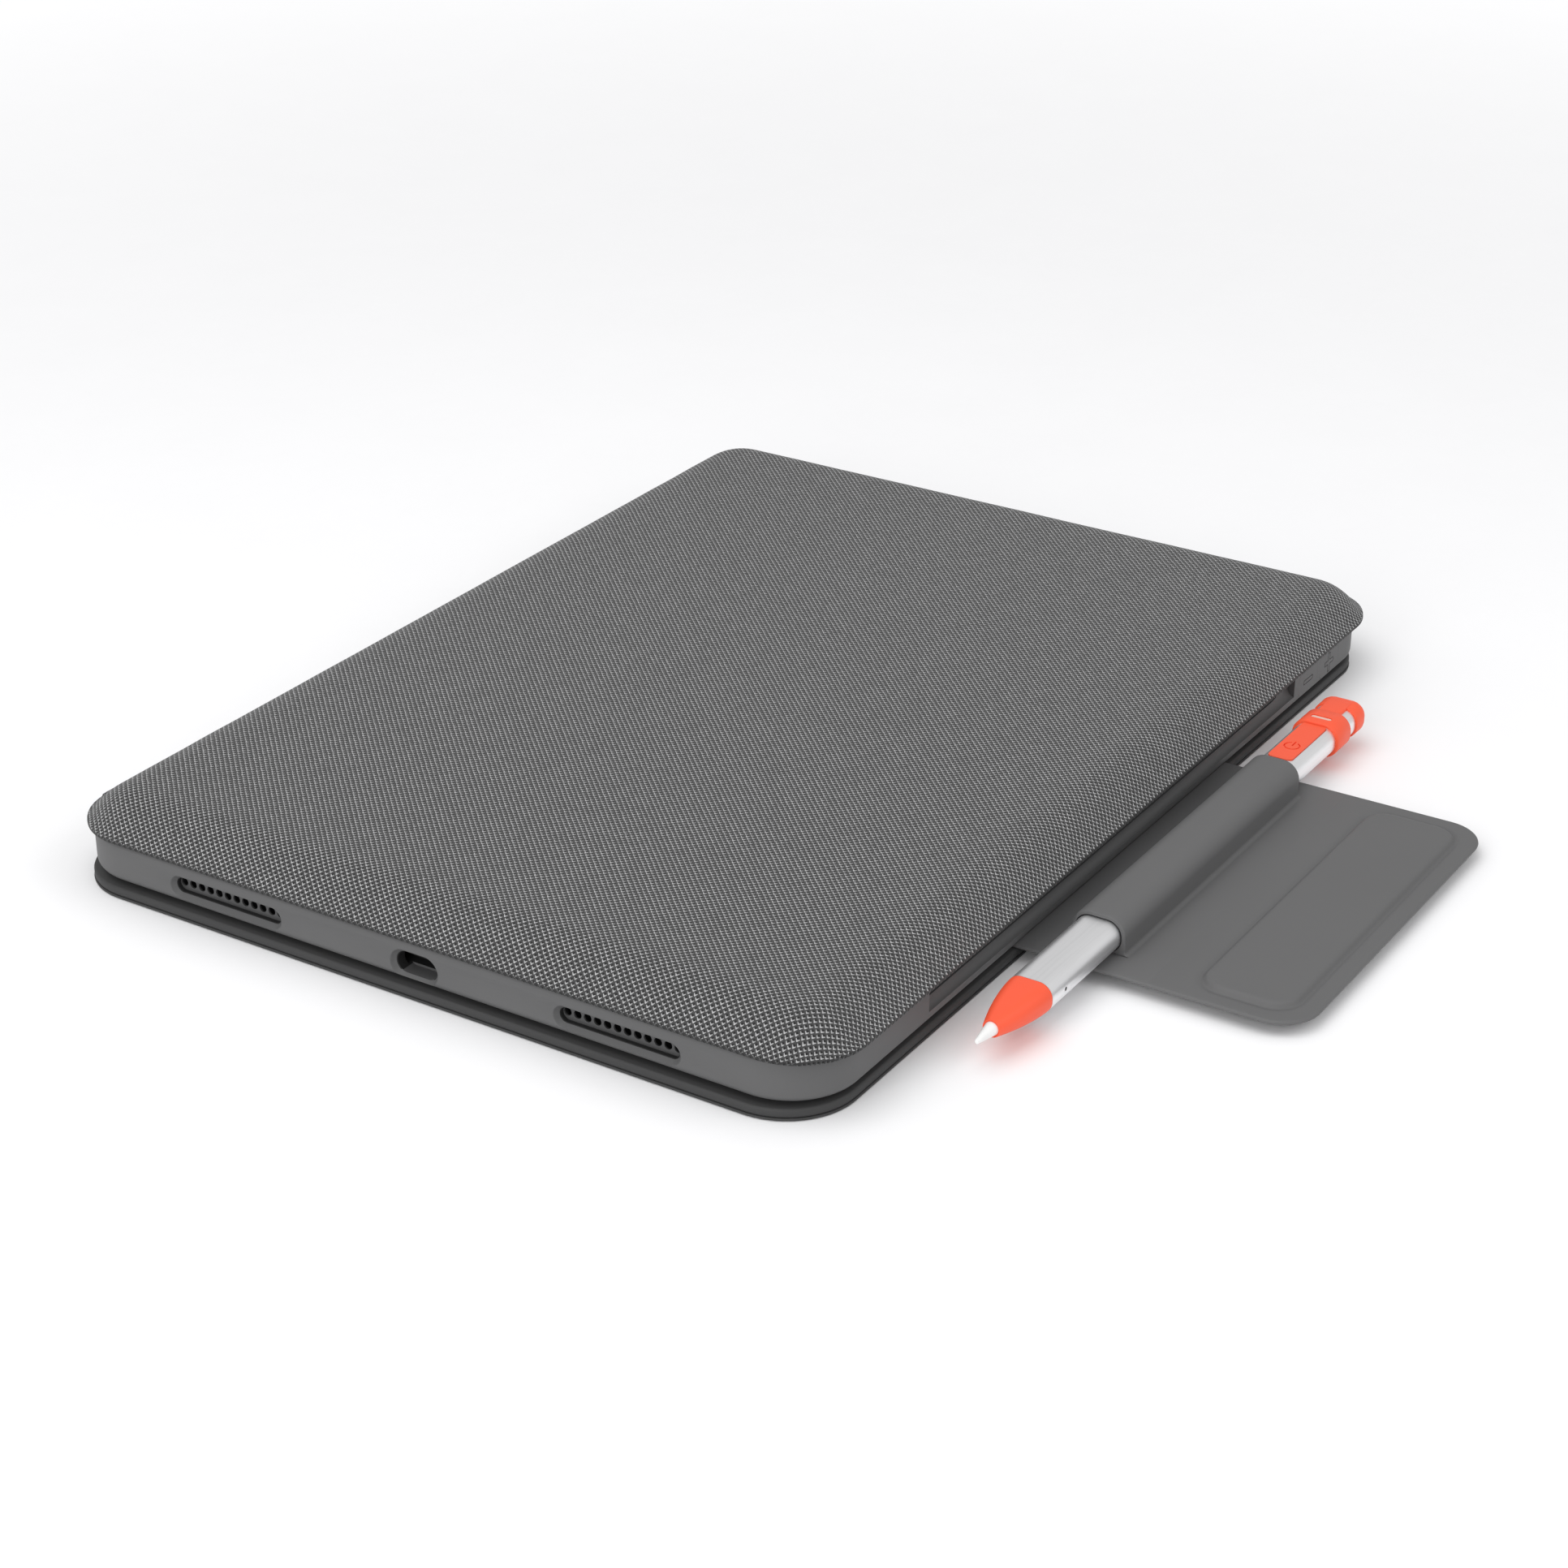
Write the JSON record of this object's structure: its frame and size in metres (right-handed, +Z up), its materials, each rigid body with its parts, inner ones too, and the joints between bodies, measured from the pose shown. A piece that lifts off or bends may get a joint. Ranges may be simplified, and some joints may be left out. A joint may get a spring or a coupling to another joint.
{
  "type": "tablet keyboard case",
  "caption": "Folio keyboard case for a tablet: padded woven cover over a keyboard, flexible holder frame, thin back panel and a flap with a stylus in its loop.",
  "frame": {"origin": "centre of the back panel's underside, which lies on the table, in the closed state with the flap laid open", "axes": "+Z up through the case to the padded cover, X along the long side with +X towards the volume keys, -Y towards the flap and +Y towards the spine"},
  "size_m": [0.2572, 0.2522, 0.02],
  "materials": {
    "woven_cover": "charcoal woven polyester with light flecks",
    "smooth_skin": "smooth dark synthetic skin",
    "holder_plastic": "soft matte grey flexible plastic",
    "flap_skin": "smooth matte grey synthetic skin",
    "board": "fibre board",
    "dark_rubber": "black rubber",
    "dark_plastic": "dark matte plastic",
    "key_plastic": "dark keycap plastic",
    "foam": "foam padding",
    "steel": "stamped sheet",
    "magnet_metal": "nickel plated magnet",
    "light_guide": "clear light guide",
    "circuit": "circuit board",
    "cell_foil": "foil pouch",
    "lamp": "status light",
    "barrel_metal": "fine bead-blasted satin",
    "orange_rubber": "smooth orange rubber",
    "white_tip": "white polished plastic",
    "pale_window": "milky light window"
  },
  "bodies": {
    "back_panel": {"back_fabric": "woven_cover", "back_board_front": "board", "back_board_rear": "board", "crease_strip": "smooth_skin", "back_lining": "smooth_skin", "mount_pad": "dark_rubber", "holder_frame": "holder_plastic", "bay_liner": "dark_plastic", "camera_ring": "dark_plastic", "dock_magnets": "magnet_metal", "flap_anchor": "smooth_skin"},
    "volume_up": {"volume_up_pad": "holder_plastic"},
    "volume_down": {"volume_down_pad": "holder_plastic"},
    "power": {"power_pad": "holder_plastic"},
    "spine": {"spine_fabric": "woven_cover", "spine_board": "board", "spine_lining": "smooth_skin"},
    "front_cover": {"cover_fabric": "woven_cover", "cover_hem": "smooth_skin", "cover_foam": "foam", "keyboard_tray": "dark_plastic", "keyboard_deck": "dark_plastic", "key_plate": "steel", "backlight_sheet": "light_guide", "control_board": "circuit", "battery_cells": "cell_foil", "charge_port": "steel", "status_light": "lamp", "deck_magnets": "magnet_metal", "deck_screws": "steel", "dock_rest": "dark_rubber"},
    "flap_loop": {"flap_sheet": "flap_skin", "pen_sleeve": "flap_skin"},
    "flap_middle": {"flap_wrap": "flap_skin"},
    "flap_tab": {"tab_sheet": "flap_skin", "tab_board": "board", "tab_magnets": "magnet_metal"},
    "stylus": {"stylus_barrel": "barrel_metal", "stylus_nose": "orange_rubber", "stylus_tip": "white_tip", "stylus_cap": "orange_rubber", "stylus_window": "pale_window", "stylus_cell": "cell_foil"},
    "stylus_power": {"stylus_button": "orange_rubber"},
    "function_keys_body": {"function_keys": "key_plastic"},
    "number_keys_body": {"number_keys": "key_plastic"},
    "backspace_key_body": {"backspace_key": "key_plastic"},
    "tab_key_body": {"tab_key": "key_plastic"},
    "upper_keys_body": {"upper_keys": "key_plastic"},
    "caps_key_body": {"caps_key": "key_plastic"},
    "home_keys_body": {"home_keys": "key_plastic"},
    "return_key_body": {"return_key": "key_plastic"},
    "left_shift_key_body": {"left_shift_key": "key_plastic"},
    "lower_keys_body": {"lower_keys": "key_plastic"},
    "right_shift_key_body": {"right_shift_key": "key_plastic"},
    "modifier_keys_body": {"modifier_keys": "key_plastic"},
    "space_bar_body": {"space_bar": "key_plastic"},
    "arrow_keys_body": {"arrow_keys": "key_plastic"}
  },
  "joints": [
    {"name": "spine_lower_fold", "type": "hinge", "parent": "back_panel", "child": "spine", "pos_m": [0, 0.0947, 0.00125], "axis": [-1, 0, 0], "range_deg": [0, 180]},
    {"name": "spine_upper_fold", "type": "hinge", "parent": "spine", "child": "front_cover", "pos_m": [0, 0.09515, 0.0139], "axis": [-1, 0, 0], "range_deg": [0, 180]},
    {"name": "flap_root_fold", "type": "hinge", "parent": "back_panel", "child": "flap_loop", "pos_m": [0, -0.09715, 0.0035], "axis": [-1, 0, 0], "range_deg": [0, 40]},
    {"name": "flap_wrap_fold", "type": "hinge", "parent": "flap_loop", "child": "flap_middle", "pos_m": [0, -0.1164, 0.0035], "axis": [-1, 0, 0], "range_deg": [0, 90]},
    {"name": "flap_tab_fold", "type": "hinge", "parent": "flap_middle", "child": "flap_tab", "pos_m": [0, -0.12915, 0.0035], "axis": [-1, 0, 0], "range_deg": [0, 58]},
    {"name": "stylus_pull", "type": "slide", "parent": "flap_loop", "child": "stylus", "axis": [1, 0, 0], "range_m": [0, 0.145]},
    {"name": "stylus_button_press", "type": "slide", "parent": "stylus", "child": "stylus_power", "axis": [0, 0, -1], "range_m": [0, 0.00025], "stiffness_N_per_m": 1500},
    {"name": "volume_up_press", "type": "slide", "parent": "back_panel", "child": "volume_up", "axis": [0, 1, 0], "range_m": [0, 0.0004], "stiffness_N_per_m": 2000},
    {"name": "volume_down_press", "type": "slide", "parent": "back_panel", "child": "volume_down", "axis": [0, 1, 0], "range_m": [0, 0.0004], "stiffness_N_per_m": 2000},
    {"name": "power_press", "type": "slide", "parent": "back_panel", "child": "power", "axis": [-1, 0, 0], "range_m": [0, 0.0004], "stiffness_N_per_m": 2000},
    {"name": "function_keys_press", "type": "slide", "parent": "front_cover", "child": "function_keys_body", "axis": [0, 0, 1], "range_m": [0, 0.001], "stiffness_N_per_m": 400},
    {"name": "number_keys_press", "type": "slide", "parent": "front_cover", "child": "number_keys_body", "axis": [0, 0, 1], "range_m": [0, 0.001], "stiffness_N_per_m": 400},
    {"name": "backspace_key_press", "type": "slide", "parent": "front_cover", "child": "backspace_key_body", "axis": [0, 0, 1], "range_m": [0, 0.001], "stiffness_N_per_m": 400},
    {"name": "tab_key_press", "type": "slide", "parent": "front_cover", "child": "tab_key_body", "axis": [0, 0, 1], "range_m": [0, 0.001], "stiffness_N_per_m": 400},
    {"name": "upper_keys_press", "type": "slide", "parent": "front_cover", "child": "upper_keys_body", "axis": [0, 0, 1], "range_m": [0, 0.001], "stiffness_N_per_m": 400},
    {"name": "caps_key_press", "type": "slide", "parent": "front_cover", "child": "caps_key_body", "axis": [0, 0, 1], "range_m": [0, 0.001], "stiffness_N_per_m": 400},
    {"name": "home_keys_press", "type": "slide", "parent": "front_cover", "child": "home_keys_body", "axis": [0, 0, 1], "range_m": [0, 0.001], "stiffness_N_per_m": 400},
    {"name": "return_key_press", "type": "slide", "parent": "front_cover", "child": "return_key_body", "axis": [0, 0, 1], "range_m": [0, 0.001], "stiffness_N_per_m": 400},
    {"name": "left_shift_key_press", "type": "slide", "parent": "front_cover", "child": "left_shift_key_body", "axis": [0, 0, 1], "range_m": [0, 0.001], "stiffness_N_per_m": 400},
    {"name": "lower_keys_press", "type": "slide", "parent": "front_cover", "child": "lower_keys_body", "axis": [0, 0, 1], "range_m": [0, 0.001], "stiffness_N_per_m": 400},
    {"name": "right_shift_key_press", "type": "slide", "parent": "front_cover", "child": "right_shift_key_body", "axis": [0, 0, 1], "range_m": [0, 0.001], "stiffness_N_per_m": 400},
    {"name": "modifier_keys_press", "type": "slide", "parent": "front_cover", "child": "modifier_keys_body", "axis": [0, 0, 1], "range_m": [0, 0.001], "stiffness_N_per_m": 400},
    {"name": "space_bar_press", "type": "slide", "parent": "front_cover", "child": "space_bar_body", "axis": [0, 0, 1], "range_m": [0, 0.001], "stiffness_N_per_m": 400},
    {"name": "arrow_keys_press", "type": "slide", "parent": "front_cover", "child": "arrow_keys_body", "axis": [0, 0, 1], "range_m": [0, 0.001], "stiffness_N_per_m": 400}
  ]
}
